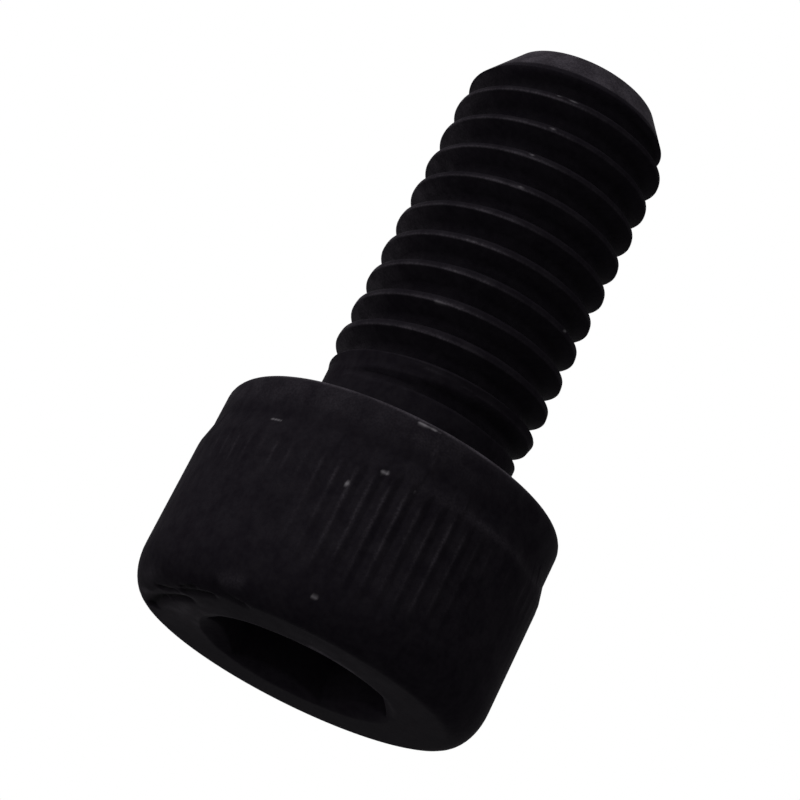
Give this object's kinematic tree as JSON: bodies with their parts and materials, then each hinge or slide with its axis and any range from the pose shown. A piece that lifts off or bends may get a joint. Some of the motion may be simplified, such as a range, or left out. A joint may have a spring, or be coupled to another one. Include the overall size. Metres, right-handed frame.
{
  "type": "socket head cap screw",
  "caption": "Short socket head cap screw with a knurled cylindrical head, a hex socket and a coarse metric thread, in black oxide steel.",
  "frame": {"origin": "centre of the flat face around the hex socket, on which the screw stands", "axes": "+Z along the screw's axis from the head to the thread's tip; a corner of the hex socket lies on +X"},
  "size_m": [0.013, 0.013, 0.024],
  "materials": {
    "black_oxide_steel": "satin black oxide"
  },
  "bodies": {
    "root": {"cap_screw": "black_oxide_steel"}
  },
  "joints": []
}
